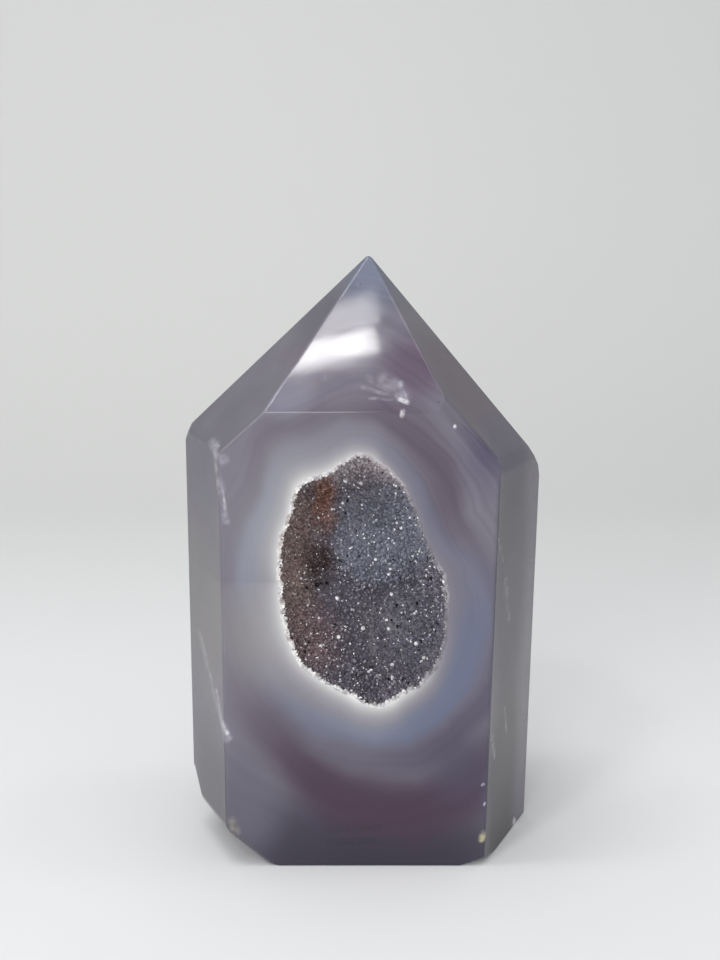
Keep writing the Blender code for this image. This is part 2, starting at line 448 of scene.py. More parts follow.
def one_crystal(place, towards, chance):
    """The corners of one six-sided crystal: the root's ring, the shoulder's ring and the tip."""
    lean = Vector([chance.uniform(-1, 1) for _ in range(3)]) * CRYSTAL_LEAN
    axis = (towards + lean).normalized()
    size = chance.random() ** 2
    radius = between(CRYSTAL_RADIUS, size) * MM
    height = between(CRYSTAL_HEIGHT, size) * MM
    shoulder = height * (1 - CRYSTAL_POINT * chance.uniform(*POINT_SPREAD))
    stand = axis.to_track_quat("Z", "Y").to_matrix() @ Matrix.Rotation(chance.uniform(0, math.tau), 3, "Z")
    corners = []
    for level in (-CRYSTAL_ROOT * MM, shoulder):
        for side in range(CRYSTAL_SIDES):
            turn = math.tau * side / CRYSTAL_SIDES
            reach = radius * chance.uniform(*CORNER_SPREAD)
            corners.append(Vector((reach * math.cos(turn), reach * math.sin(turn), level)))
    stray = radius * TIP_STRAY
    corners.append(Vector((chance.uniform(-1, 1) * stray, chance.uniform(-1, 1) * stray, height)))
    placed = [place + stand @ corner for corner in corners]
    for corner in placed:
        corner.y = max(corner.y, (FRONT_Y + GROUND_FLUSH) * MM)
    return placed


def crystal_faces(first):
    """One crystal's faces, as corner numbers that start at a number."""
    ring = range(CRYSTAL_SIDES)
    tip = first + 2 * CRYSTAL_SIDES
    faces = [tuple(first + side for side in reversed(ring))]
    for side in ring:
        here, there = first + side, first + (side + 1) % CRYSTAL_SIDES
        faces.append((here, there, there + CRYSTAL_SIDES, here + CRYSTAL_SIDES))
        faces.append((here + CRYSTAL_SIDES, there + CRYSTAL_SIDES, tip))
    return faces


def build_crystals():
    """The druse: thousands of small quartz points over the whole wall, as one mesh."""
    chance = random.Random(CRYSTAL_SEED)
    corners, faces, tones, painted_glints = [], [], [], []
    for place, towards in crystal_places():
        own = crystal_faces(len(corners))
        corners += one_crystal(place, towards, chance)
        faces += own
        tones += [chance.random()] * len(own)
        # Painted highlight: whole crystals, or single faces of the others, are marked to be coloured white
        # as glints
        share = 1.0 if chance.random() < PAINTED_GLINT_SHARE else PAINTED_GLINT_FACETS
        painted_glints += [1.0 if chance.random() < share else 0.0 for _ in own]
    mesh = bpy.data.meshes.new("quartz_points")
    mesh.from_pydata(corners, [], faces)
    for name, values in (("tone", tones), ("painted_glint", painted_glints)):
        layer = mesh.attributes.new(name, "FLOAT", "FACE")
        layer.data.foreach_set("value", values)
    return link_object("quartz_points", mesh)


def tint(red, green, blue):
    """A colour given as 0 to 255 display values, as the shader's linear colour."""
    linear = []
    for value in (red, green, blue):
        share = value / 255
        linear.append(share / 12.92 if share <= 0.04045 else ((share + 0.055) / 1.055) ** 2.4)
    return (*linear, 1.0)


NOISE_MEAN = (0.5, 0.5, 0.5)


class Graph:
    """A material's nodes, with a short call for each kind that the finishes use."""

    def __init__(self, name):
        self.material = bpy.data.materials.new(name)
        self.material.use_nodes = True
        self.tree = self.material.node_tree
        self.shader = self.tree.nodes["Principled BSDF"]

    def feed(self, socket, value):
        """Links an output to a socket, or sets the socket to a plain value."""
        if isinstance(value, bpy.types.NodeSocket):
            self.tree.links.new(value, socket)
        else:
            socket.default_value = value

    def place(self):
        """The surface point in millimetres, in the part's own frame."""
        where = self.tree.nodes.new("ShaderNodeTexCoord")
        return self.vector("SCALE", where.outputs["Object"], scale=1 / MM)

    def math(self, operation, *values, clamp=False):
        """One sum on plain numbers."""
        node = self.tree.nodes.new("ShaderNodeMath")
        node.operation = operation
        node.use_clamp = clamp
        for socket, value in zip(node.inputs, values):
            self.feed(socket, value)
        return node.outputs[0]

    def vector(self, operation, *values, scale=None):
        """One sum on vectors."""
        node = self.tree.nodes.new("ShaderNodeVectorMath")
        node.operation = operation
        for socket, value in zip(node.inputs, values):
            self.feed(socket, value)
        if scale is not None:
            self.feed(node.inputs["Scale"], scale)
        return node.outputs["Value" if operation in ("LENGTH", "DOT_PRODUCT") else "Vector"]

    def split(self, vector):
        """A vector's three parts."""
        node = self.tree.nodes.new("ShaderNodeSeparateXYZ")
        self.feed(node.inputs[0], vector)
        return node.outputs

    def noise(self, place, size, detail=2.0, output="Fac", line=False):
        """Noise whose features are about this many millimetres, over space or along a line."""
        node = self.tree.nodes.new("ShaderNodeTexNoise")
        node.noise_dimensions = "1D" if line else "3D"
        self.feed(node.inputs["W" if line else "Vector"], place)
        node.inputs["Scale"].default_value = 1 / size
        node.inputs["Detail"].default_value = detail
        return node.outputs[output]

    def warp(self, place, size, reach):
        """A place moved by noise of this size, at most about this far, so that soft edges wander."""
        drift = self.vector("SUBTRACT", self.noise(place, size, output="Color"), NOISE_MEAN)
        return self.vector("ADD", place, self.vector("SCALE", drift, scale=reach))

    def fade(self, value, start, end, low=0.0, high=1.0):
        """A smooth step from low, where the value is at start, to high, where it is at end."""
        node = self.tree.nodes.new("ShaderNodeMapRange")
        node.interpolation_type = "SMOOTHSTEP"
        settings = {"Value": value, "From Min": start, "From Max": end, "To Min": low, "To Max": high}
        for name, setting in settings.items():
            self.feed(node.inputs[name], setting)
        return node.outputs["Result"]

    def mix(self, share, first, second):
        """The first colour where the share is 0, and the second where it is 1."""
        node = self.tree.nodes.new("ShaderNodeMix")
        node.data_type = "RGBA"
        self.feed(node.inputs["Factor"], share)
        self.feed(node.inputs[6], first)
        self.feed(node.inputs[7], second)
        return node.outputs[2]

    def curve(self, value, points):
        """A smooth curve through points whose values run from 0 to 1."""
        node = self.tree.nodes.new("ShaderNodeFloatCurve")
        line = node.mapping.curves[0]
        line.points[0].location = points[0]
        line.points[1].location = points[-1]
        for point in points[1:-1]:
            line.points.new(*point)
        node.mapping.update()
        self.feed(node.inputs["Value"], value)
        return node.outputs["Value"]

    def spot(self, place, centre, reach, core):
        """A soft round patch: 1 inside its core, fading to 0 at its reach along each axis."""
        away = self.vector("SUBTRACT", place, centre)
        share = self.vector("LENGTH", self.vector("DIVIDE", away, reach))
        return self.fade(share, 1.0, core)

    def streak(self, place, start, end, wide):
        """A soft line from a start to an end: 1 along its middle, fading to 0 at its half width."""
        line = Vector(end) - Vector(start)
        away = self.vector("SUBTRACT", place, start)
        along = self.vector("DOT_PRODUCT", away, tuple(line))
        share = self.math("DIVIDE", along, line.length_squared, clamp=True)
        beside = self.vector("SUBTRACT", away, self.vector("SCALE", tuple(line), scale=share))
        return self.fade(self.vector("LENGTH", beside), wide, 0.0)

    def bump(self, height, distance):
        """Lets the light fall as if the surface rose by this many millimetres where the height is 1."""
        node = self.tree.nodes.new("ShaderNodeBump")
        node.inputs["Distance"].default_value = distance * MM
        self.feed(node.inputs["Height"], height)
        self.tree.links.new(node.outputs["Normal"], self.shader.inputs["Normal"])


# Colours of the agate, as display values: the sides, and the front face with the facet above it
STONE_SIDE = tint(97, 94, 103)
STONE_SIDE_COOL = tint(82, 79, 94)
STONE_FRONT = tint(108, 104, 117)
STONE_VEIN = tint(96, 78, 96)

# The sides' clouds and veins: size, the span of the noise over which they come up, detail and strength
CLOUD_SIZE = 16.0
CLOUD_SPAN = (0.35, 0.65)
VEIN_SIZE = 7.0
VEIN_SPAN = (0.5, 0.75)
VEIN_DETAIL = 4.0
VEIN_STRENGTH = 0.45

# Polish: the mean size of its duller patches, the span of the noise over which they come up, its least
# and most roughness, how much rougher the wear marks and the painted shade line make it, the size and depth
# of its ripple, and its gloss
POLISH_SIZE = 3.0
POLISH_SPAN = (0.3, 0.7)
POLISH_ROUGHNESS = (0.04, 0.07)
WEAR_AND_SHADE_LINE_ROUGHNESS = 0.3
RIPPLE_SIZE = 9.0
RIPPLE_DETAIL = 1.0
RIPPLE_DEPTH = 0.008
QUARTZ_IOR = 1.54
POLISH_SPECULAR = 0.45

# Soft zones of colour, among them painted shade and painted light where noted: centre, reach along x, y and
# z, how much of it is even, colour, strength
SIDE_ZONES = {
    # Painted shade: the right side darker, as the light falls from the left, and darkest low down by the
    # shaded floor
    "right side painted shade": ((20.0, -10.0, 38.0), (7, 10, 30), 0.4, tint(40, 35, 55), 0.92),
    "right low painted shade": ((20.0, -10.0, 12.0), (7, 10, 16), 0.4, tint(18, 15, 25), 0.9),
    "right foot painted shade": ((20.0, -10.0, 1.0), (7, 10, 10), 0.3, tint(12, 10, 15), 0.9),
    "right top": ((14.0, -6.0, 64.0), (14, 12, 14), 0.3, tint(78, 66, 78), 0.85),
    "right shoulder": ((18.5, -9.0, 56.0), (7, 9, 6), 0.3, tint(70, 64, 90), 0.7),
    "left side": ((-21.0, -8.0, 34.0), (8, 14, 16), 0.3, tint(92, 88, 88), 0.8),
    "left low": ((-20.0, -9.0, 6.0), (8, 14, 18), 0.3, tint(62, 58, 66), 0.9),
    "left top": ((-5.0, -7.0, 74.0), (8, 10, 10), 0.2, tint(70, 66, 80), 0.85),
    # Partly the tip's blue grey, partly painted light shining through the thin tip
    "tip blue painted glow": ((0.8, -1.0, 79.0), (8, 9, 9), 0.2, tint(84, 88, 108), 0.9),
}
BASE_ZONES = {
    # The base and indigo base zones darken the front towards the bottom: partly the stone's own dark indigo,
    # partly painted shade near the floor
    "base": ((0.0, -15.5, 2.0), (34, 8, 14), 0.3, tint(58, 54, 70), 1.0),
    "left foot": ((-15.5, -15.5, 9.0), (7, 6, 11), 0.2, tint(94, 92, 106), 0.85),
    "indigo base": ((3.5, -15.5, 1.5), (22, 6, 6.5), 0.2, tint(46, 42, 58), 0.9),
}
FRONT_ZONES = {
    "grey left": ((-14.5, -15.5, 32.0), (6, 5, 8), 0.2, tint(110, 107, 111), 0.8),
    "dark lower right": ((13.0, -15.5, 14.0), (7, 5, 8), 0.1, tint(67, 62, 82), 0.8),
    "purple corner": ((15.5, -15.0, 56.0), (5, 6, 8), 0.0, tint(82, 77, 100), 0.8),
    "blue edge low": ((17.2, -15.0, 12.0), (2.2, 5, 12), 0.0, tint(76, 76, 104), 0.6),
    "facet grey": ((-3.0, -12.5, 65.0), (9, 7, 6), 0.3, tint(109, 104, 117), 0.85),
    "facet left": ((-9.5, -14.2, 63.0), (5, 4, 4), 0.1, tint(124, 123, 138), 0.8),
    "facet mauve": ((6.5, -11.5, 66.5), (6.0, 6, 8), 0.2, tint(92, 79, 97), 0.95),
    # Partly the tip's blue grey, partly painted light shining through the thin tip
    "tip blue painted glow": ((0.8, -2.0, 79.0), (9, 9, 11), 0.2, tint(101, 108, 128), 0.9),
}

# Ribbons of colour that run round the hollow on the front face: each one's distance from the rim, half
# width and strength by direction, in twelfths of a turn from the left round by the bottom, and its colour
RIBBONS = {
    "pale blue": (
        [3.8, 5.5, 6.0, 5.0, 4.0, 4.0, 4.0, 4.0, 4.0, 3.0, 3.2, 3.6, 3.8],
        [3.0, 3.0, 3.0, 2.5, 2.5, 2.5, 2.5, 2.5, 2.5, 2.5, 2.8, 3.0, 3.0],
        [0.80, 0.25, 0.1, 0.0, 0.0, 0.0, 0.0, 0.0, 0.0, 0.1, 0.45, 0.85, 0.80],
        tint(116, 121, 137),
    ),
    "blue": (
        [4.0, 6.0, 5.8, 4.6, 4.2, 3.6, 4.2, 2.4, 2.0, 2.4, 3.0, 3.5, 4.0],
        [3.0, 3.0, 3.2, 3.2, 3.4, 4.2, 3.4, 2.0, 1.6, 2.0, 3.0, 3.0, 3.0],
        [0.0, 0.0, 0.45, 0.85, 0.95, 0.9, 0.42, 0.4, 0.4, 0.2, 0.0, 0.0, 0.0],
        tint(94, 101, 126),
    ),
    "mauve": (
        [6.5, 7.5, 10.2, 14.6, 16.0, 11.5, 6.4, 4.6, 6.0, 7.0, 7.6, 6.2, 6.5],
        [2.5, 3.4, 5.2, 7.0, 6.5, 4.0, 2.4, 3.0, 5.0, 3.6, 2.4, 2.6, 2.5],
        [0.1, 0.2, 0.62, 1.0, 0.88, 0.45, 0.15, 0.42, 0.62, 0.48, 0.35, 0.15, 0.1],
        tint(63, 42, 63),
    ),
    "grey purple": (
        [6.0, 7.0, 8.0, 8.0, 8.5, 8.5, 7.5, 6.0, 6.0, 6.0, 6.0, 6.0, 6.0],
        [2.0, 2.5, 3.0, 3.6, 3.6, 3.2, 2.4, 2.0, 2.0, 2.0, 2.0, 2.0, 2.0],
        [0.0, 0.0, 0.25, 0.7, 0.9, 0.7, 0.1, 0.0, 0.0, 0.0, 0.0, 0.0, 0.0],
        tint(80, 74, 92),
    ),
}
RIBBON_CORE = 0.15

# A curve's values run from 0 to 1, where 1 stands for this length; the outline's curve has this many steps
LONGEST = 20.0
OUTLINE_STEPS = 36

# How far the zones' soft edges wander, and the size of that noise
WARP_SIZE = 14.0
WARP_REACH = 2.2

# The faces that show the front's colours, and how deep below them those are gone and still full
FRONT_FACES = ("front", "top front", "front brow")
FRONT_DEEP = 0.35
FRONT_SHALLOW = 0.05

# The pale halo round the hollow: its strength, and its reach as a share of its width, by direction as
# above; and the bright line along the rim, with its width
HALO_COLOUR = tint(176, 175, 177)
HALO_STRENGTH = [0.50, 0.75, 0.66, 0.95, 0.38, 0.06, 0.04, 0.04, 0.05, 0.40, 0.74, 0.70, 0.50]
HALO_REACH = [0.55, 0.80, 0.45, 0.40, 0.22, 0.30, 0.30, 0.30, 0.30, 0.30, 0.46, 0.56, 0.55]
HALO_WIDTH = 6.0
RIM_COLOUR = tint(232, 231, 229)
RIM_WIDTH = 0.75

# White crystals along the rim: how strongly each direction shows them, between which depths they fade,
# and the size, span and least strength of the patches that they come in
RIM_CRYSTALS = [0.75, 0.85, 0.9, 0.85, 0.45, 0.08, 0.28, 0.06, 0.12, 0.4, 0.8, 0.8, 0.75]
RIM_CRYSTAL_DEPTH = (0.55, 0.05)
RIM_PATCH_SIZE = 0.9
RIM_PATCH_SPAN = (0.35, 0.6)
RIM_PATCH_LEAST = 0.35

# Fine bands that follow the rim: their size, the span of the noise from dark to light, how strongly
# each direction shows them, and how they bend
BAND_SIZE = 1.3
BAND_SPAN = (0.25, 0.75)
BAND_DEPTH = [0.05, 0.03, 0.03, 0.03, 0.03, 0.04, 0.06, 0.09, 0.11, 0.07, 0.05, 0.05, 0.05]
BAND_BEND = 3.2
BAND_BEND_SIZE = 9.0


def from_centre(graph, place):
    """The way from the hollow's centre, in the front face, to a place."""
    return graph.vector("SUBTRACT", place, (HOLLOW_CENTRE[0], FRONT_Y, HOLLOW_CENTRE[1]))


def rim_angle(graph, away):
    """The direction of a way from the hollow's centre, from 0 at the left, down, right, up and back to 1."""
    across, _, up = graph.split(away)
    return graph.math("MULTIPLY_ADD", graph.math("ARCTAN2", up, across), 1 / math.tau, 0.5)


def round_the_rim(graph, angle, values):
    """A value that changes smoothly with the direction from the hollow's centre."""
    steps = len(values) - 1
    return graph.curve(angle, [(step / steps, value) for step, value in enumerate(values)])


def rim_length(graph, angle, lengths):
    """A length that changes smoothly with the direction from the hollow's centre, in millimetres."""
    shares = round_the_rim(graph, angle, [length / LONGEST for length in lengths])
    return graph.math("MULTIPLY", shares, LONGEST)


def rim_distance(graph, away, angle):
    """How far a place is from the hollow's rim, in millimetres, outward and inward into the stone."""
    turns = [math.tau * step / OUTLINE_STEPS - math.pi for step in range(OUTLINE_STEPS + 1)]
    outline = rim_length(graph, angle, [outline_radius(turn) for turn in turns])
    return graph.math("SUBTRACT", graph.vector("LENGTH", away), outline)


def fall_off(graph, strength, distance, width):
    """A share that is strength at the rim and dies away outward over a width."""
    outward = graph.math("MAXIMUM", distance, 0.0)
    falling = graph.math("EXPONENT", graph.math("DIVIDE", graph.math("MULTIPLY", outward, -1.0), width))
    return graph.math("MULTIPLY", strength, falling, clamp=True)


def paint_zones(graph, colour, place, zones):
    """A colour with soft zones of other colours laid over it in turn."""
    for centre, reach, core, own, strength in zones.values():
        share = graph.math("MULTIPLY", graph.spot(place, centre, reach, core), strength)
        colour = graph.mix(share, colour, own)
    return colour


def paint_ribbons(graph, colour, angle, distance):
    """A colour with ribbons of other colours laid over it, each following the hollow's rim."""
    for distances, widths, strengths, own in RIBBONS.values():
        beside = graph.math("SUBTRACT", distance, rim_length(graph, angle, distances))
        share = graph.math("DIVIDE", graph.math("ABSOLUTE", beside), rim_length(graph, angle, widths))
        strength = round_the_rim(graph, angle, strengths)
        share = graph.math("MULTIPLY", graph.fade(share, 1.0, RIBBON_CORE), strength)
        colour = graph.mix(share, colour, own)
    return colour


# Marks of wear, and the painted dark line of shade along the right brow: start, end, half width, strength,
# colour, and how fine the noise is that breaks it up
PALE_MARK = tint(196, 194, 206)
WHITE_MARK = tint(236, 235, 238)
YELLOW_MARK = tint(206, 200, 160)
DARK_MARK = tint(30, 27, 36)
MARKS = {
    "left fracture top": ((-19.8, -11.4, 57.4), (-17.6, -15.3, 55.4), 1.2, 0.3, PALE_MARK, 1.6),
    "left fracture middle": ((-18.5, -13.6, 56.6), (-17.9, -14.9, 51.6), 1.2, 0.3, PALE_MARK, 1.4),
    "left fracture low": ((-18.0, -14.6, 52.6), (-17.3, -15.3, 47.4), 0.7, 0.36, PALE_MARK, 1.2),
    "left fracture edge": ((-17.9, -15.1, 54.8), (-17.4, -15.4, 49.0), 0.3, 0.6, WHITE_MARK, 0.8),
    "left fracture rim": ((-19.9, -11.2, 57.2), (-18.2, -14.2, 56.9), 0.25, 0.4, WHITE_MARK, 0.9),
    "left streak": ((-22.0, -6.4, 29.0), (-18.0, -14.6, 19.6), 1.5, 0.2, PALE_MARK, 2.5),
    "left streak line": ((-21.2, -8.0, 27.2), (-18.0, -14.7, 19.8), 0.3, 0.4, PALE_MARK, 0.9),
    "left streak end": ((-19.0, -12.6, 23.4), (-17.7, -15.2, 18.2), 1.0, 0.4, PALE_MARK, 0.9),
    "left streak chip": ((-18.0, -14.9, 20.2), (-17.7, -15.3, 18.9), 0.5, 0.7, WHITE_MARK, 0.7),
    "left scrape": ((-18.0, -14.9, 46.0), (-17.8, -15.2, 30.0), 0.3, 0.3, PALE_MARK, 1.2),
    "feather one": ((4.6, -14.2, 63.3), (0.6, -12.5, 65.4), 0.7, 0.16, PALE_MARK, 1.4),
    "feather two": ((3.4, -14.2, 63.4), (-0.1, -13.3, 64.3), 0.45, 0.26, PALE_MARK, 1.1),
    "feather three": ((3.6, -14.4, 62.9), (0.9, -14.3, 63.0), 0.35, 0.22, PALE_MARK, 1.1),
    "feather web": ((4.9, -14.0, 63.4), (3.0, -12.7, 65.1), 1.7, 0.2, PALE_MARK, 1.8),
    "feather side": ((5.3, -14.4, 62.9), (4.8, -13.0, 64.7), 0.7, 0.2, PALE_MARK, 1.4),
    "feather rib": ((4.7, -12.9, 64.8), (5.6, -14.6, 62.7), 0.25, 0.36, PALE_MARK, 0.9),
    "feather root": ((5.6, -14.7, 62.5), (4.6, -14.4, 62.9), 0.45, 0.55, WHITE_MARK, 0.7),
    "right scrape one": ((17.4, -15.0, 44.8), (18.4, -12.9, 41.4), 0.4, 0.32, PALE_MARK, 1.0),
    "right scrape two": ((18.6, -11.6, 38.4), (19.4, -9.6, 32.6), 1.0, 0.16, PALE_MARK, 1.2),
    "right scrape three": ((17.2, -14.2, 17.6), (17.9, -12.9, 14.4), 0.9, 0.24, PALE_MARK, 0.9),
    "right scrape four": ((19.0, -9.7, 20.0), (19.6, -8.3, 15.6), 0.7, 0.18, PALE_MARK, 1.1),
    "chip on the facet's edge": ((4.9, -15.5, 61.0), (5.0, -15.4, 61.5), 0.45, 0.8, WHITE_MARK, 1.0),
    "chip on the strip": ((11.5, -15.4, 59.5), (11.6, -15.4, 59.7), 0.36, 1.0, WHITE_MARK, 1.0),
    "low chip one": ((15.8, -15.5, 11.6), (15.9, -15.5, 11.7), 0.3, 0.7, PALE_MARK, 0.8),
    "low chip two": ((16.1, -15.5, 8.8), (16.2, -15.5, 9.0), 0.3, 0.7, PALE_MARK, 0.8),
    "yellow spot": ((15.9, -15.5, 3.9), (16.1, -15.5, 4.6), 0.75, 0.7, YELLOW_MARK, 0.9),
    "faint yellow": ((-17.4, -14.9, 6.6), (-17.0, -15.4, 5.0), 1.1, 0.25, YELLOW_MARK, 1.1),
    "corner chip": ((21.6, -2.9, 0.0), (21.4, -3.6, 0.9), 0.9, 0.7, WHITE_MARK, 0.9),
    "pit": ((-0.4, -3.5, 76.3), (-0.3, -3.6, 76.2), 0.3, 0.7, DARK_MARK, 0.6),
    "smudge one": ((-4.8, -15.5, 5.2), (2.0, -15.5, 5.6), 0.8, 0.32, DARK_MARK, 0.35),
    "smudge two": ((-4.4, -15.5, 3.4), (1.4, -15.5, 3.7), 0.7, 0.32, DARK_MARK, 0.35),
    "facet scratches": ((-4.8, -12.6, 65.2), (-4.2, -11.5, 67.6), 0.35, 0.4, DARK_MARK, 0.3),
    # Painted shade: the dark line where the right brow rolls away from the front, and its hook
    "strip painted shade line": ((9.4, -14.6, 62.5), (16.6, -14.6, 55.6), 0.22, 0.5, DARK_MARK, 3.0),
    "strip painted shade hook": ((16.6, -14.6, 55.6), (20.2, -11.0, 53.6), 0.22, 0.35, DARK_MARK, 3.0),
}

# How marks break up: how much fuller than soft lines they are, and the noise's detail, span and least
MARK_SPREAD = 1.6
MARK_DETAIL = 3.0
MARK_SPAN = (0.35, 0.65)
MARK_LEAST = 0.2


def paint_marks(graph, colour, place):
    """The marks of wear and the painted shade line along the right brow laid over a colour, and how strongly
    each place is marked.
    """
    wear_and_shade_line = 0.0
    for start, end, wide, strength, own, grain in MARKS.values():
        line = graph.streak(place, start, end, wide)
        broken = graph.fade(graph.noise(place, grain, detail=MARK_DETAIL), *MARK_SPAN, low=MARK_LEAST)
        share = graph.math("MULTIPLY", graph.math("MULTIPLY", line, MARK_SPREAD, clamp=True), broken)
        share = graph.math("MULTIPLY", share, strength)
        colour = graph.mix(share, colour, own)
        wear_and_shade_line = graph.math("MAXIMUM", wear_and_shade_line, share)
    return colour, wear_and_shade_line


def depth_below(graph, place, name):
    """How far a place is below a ground face, in millimetres."""
    point, normal = grinding_planes()[name]
    height = graph.vector("DOT_PRODUCT", place, tuple(normal))
    return graph.math("ABSOLUTE", graph.math("SUBTRACT", height, point.dot(normal)))


def near_front(graph, place):
    """1 on the faces that show the front's colours, fading to 0 below them."""
    depth = depth_below(graph, place, FRONT_FACES[0])
    for name in FRONT_FACES[1:]:
        depth = graph.math("MINIMUM", depth, depth_below(graph, place, name))
    return graph.fade(depth, FRONT_DEEP, FRONT_SHALLOW)


def side_colour(graph, place, warped):
    """The side faces' grey, with cooler clouds, mauve veins and soft zones, among them painted shade on the
    right side and painted light at the tip.
    """
    clouds = graph.fade(graph.noise(place, CLOUD_SIZE), *CLOUD_SPAN)
    colour = graph.mix(clouds, STONE_SIDE, STONE_SIDE_COOL)
    veins = graph.noise(warped, VEIN_SIZE, detail=VEIN_DETAIL)
    colour = graph.mix(graph.fade(veins, *VEIN_SPAN, high=VEIN_STRENGTH), colour, STONE_VEIN)
    return paint_zones(graph, colour, warped, SIDE_ZONES)


def front_colour(graph, place, warped, angle, distance):
    """The front's soft zones, among them painted shade towards the base and painted light at the tip, with
    the ribbons and fine bands that follow the hollow.
    """
    along = graph.math("MULTIPLY_ADD", graph.noise(place, BAND_BEND_SIZE), BAND_BEND, distance)
    colour = paint_zones(graph, STONE_FRONT, warped, BASE_ZONES)
    colour = paint_ribbons(graph, colour, angle, graph.math("SUBTRACT", along, BAND_BEND / 2))
    colour = paint_zones(graph, colour, warped, FRONT_ZONES)
    bands = graph.fade(graph.noise(along, BAND_SIZE, line=True), *BAND_SPAN, low=-1.0)
    shade = graph.math("MULTIPLY_ADD", bands, round_the_rim(graph, angle, BAND_DEPTH), 1.0)
    return graph.vector("SCALE", colour, scale=shade)


def paint_halo(graph, colour, angle, distance):
    """The pale halo round the hollow, and the bright line along its rim, laid over a colour."""
    strength = round_the_rim(graph, angle, HALO_STRENGTH)
    width = graph.math("MULTIPLY", round_the_rim(graph, angle, HALO_REACH), HALO_WIDTH)
    colour = graph.mix(fall_off(graph, strength, distance, width), colour, HALO_COLOUR)
    return graph.mix(fall_off(graph, strength, distance, RIM_WIDTH), colour, RIM_COLOUR)


def agate_finish():
    """Polished agate: the colours of its sides and front with their painted shade and light, the halo, the
    marks of wear and the painted shade line along the right brow.
    """
    graph = Graph("polished_agate")
    place = graph.place()
    warped = graph.warp(place, WARP_SIZE, WARP_REACH)
    away = from_centre(graph, place)
    angle = rim_angle(graph, away)
    distance = rim_distance(graph, away, angle)
    front = front_colour(graph, place, warped, angle, distance)
    colour = graph.mix(near_front(graph, place), side_colour(graph, place, warped), front)
    colour = paint_halo(graph, colour, angle, distance)
    colour, wear_and_shade_line = paint_marks(graph, colour, place)
    graph.feed(graph.shader.inputs["Base Color"], colour)

    polish = graph.fade(graph.noise(place, POLISH_SIZE), *POLISH_SPAN, *POLISH_ROUGHNESS)
    roughness = graph.math("MULTIPLY_ADD", wear_and_shade_line, WEAR_AND_SHADE_LINE_ROUGHNESS, polish)
    graph.feed(graph.shader.inputs["Roughness"], roughness)
    graph.shader.inputs["IOR"].default_value = QUARTZ_IOR
    graph.shader.inputs["Specular IOR Level"].default_value = POLISH_SPECULAR
    graph.bump(graph.noise(place, RIPPLE_SIZE, detail=RIPPLE_DETAIL), RIPPLE_DEPTH)
    return graph.material


# Colours of the druse, as display values, and its zones: centre, reach, even core, colour, strength
DRUSE_GREY = tint(101, 96, 107)
DRUSE_ZONES = {
    # Partly the top wall's grey mauve, partly painted light that lifts the shade on this downward-facing
    # wall
    "top": ((0.0, -12.0, 53.0), (9, 7, 7), 0.3, tint(180, 170, 174), 0.9),
    "left wall": ((-9.0, -12.0, 42.0), (6, 8, 15), 0.4, tint(144, 123, 118), 0.9),
    "low left": ((-8.0, -11.0, 30.0), (7, 8, 8), 0.2, tint(130, 108, 110), 0.85),
    "crease": ((-5.0, -9.0, 48.5), (2.6, 5, 6), 0.2, tint(142, 98, 80), 0.9),
    # Painted shade in the deep fold left of and below the lobe
    "fold painted shade": ((-5.6, -8.6, 40.0), (4.2, 6, 4.6), 0.1, tint(62, 44, 44), 0.9),
    "lobe": ((2.6, -11.0, 43.4), (8.0, 8, 9.4), 0.68, tint(111, 113, 127), 0.95),
    "right floor": ((7.0, -10.0, 32.0), (7, 8, 9), 0.3, tint(97, 96, 109), 0.85),
}
DRUSE_WARP_SIZE = 3.0
DRUSE_WARP_REACH = 2.0

# How the crystals' colours differ: the painted glints' white, their least and most shade, and the dark
# ones' share and colour; and their roughness
PAINTED_GLINT_COLOUR = tint(250, 250, 252)
GRAIN_SHADES = (0.7, 1.35)
DARK_SHARE = 0.012
DARK_GRAIN = tint(26, 24, 27)
CRYSTAL_ROUGHNESS = 0.12

# The bed between the crystals: its painted shade, how deep below the ground face that is reached, its
# roughness, and the size and height of its grain
BED_PAINTED_SHADE = 0.6
BED_PAINTED_SHADE_DEPTH = 0.6
BED_ROUGHNESS = 0.35
BED_GRAIN_SIZE = 0.3
BED_GRAIN_HEIGHT = 0.1


def druse_colour(graph, place):
    """The druse's grey, brown and blue patches, with painted shade in the fold and painted light on the top.
    """
    warped = graph.warp(place, DRUSE_WARP_SIZE, DRUSE_WARP_REACH)
    colour = paint_zones(graph, DRUSE_GREY, warped, DRUSE_ZONES)
    _, y, _ = graph.split(place)
    near, far = RIM_CRYSTAL_DEPTH
    rim = graph.fade(y, FRONT_Y + near, FRONT_Y + far)
    patches = graph.fade(graph.noise(place, RIM_PATCH_SIZE), *RIM_PATCH_SPAN, low=RIM_PATCH_LEAST)
    angle = rim_angle(graph, from_centre(graph, place))
    rim = graph.math("MULTIPLY", rim, patches)
    rim = graph.math("MULTIPLY", rim, round_the_rim(graph, angle, RIM_CRYSTALS))
    return graph.mix(rim, colour, RIM_COLOUR)


def attribute(graph, name):
    """A number that each face of a mesh carries."""
    node = graph.tree.nodes.new("ShaderNodeAttribute")
    node.attribute_name = name
    return node.outputs["Fac"]


def crystal_finish():
    """Glossy quartz points, each of its own shade, a few facets painted white as glints and a few grains
    black.
    """
    graph = Graph("quartz_points")
    colour = druse_colour(graph, graph.place())
    tone = attribute(graph, "tone")
    colour = graph.vector("SCALE", colour, scale=graph.fade(tone, 0.0, 1.0, *GRAIN_SHADES))
    colour = graph.mix(graph.math("LESS_THAN", tone, DARK_SHARE), colour, DARK_GRAIN)
    # Painted highlight: the marked faces are coloured white as glints
    colour = graph.mix(attribute(graph, "painted_glint"), colour, PAINTED_GLINT_COLOUR)
    graph.feed(graph.shader.inputs["Base Color"], colour)
    graph.shader.inputs["Roughness"].default_value = CRYSTAL_ROUGHNESS
    graph.shader.inputs["IOR"].default_value = QUARTZ_IOR
    return graph.material


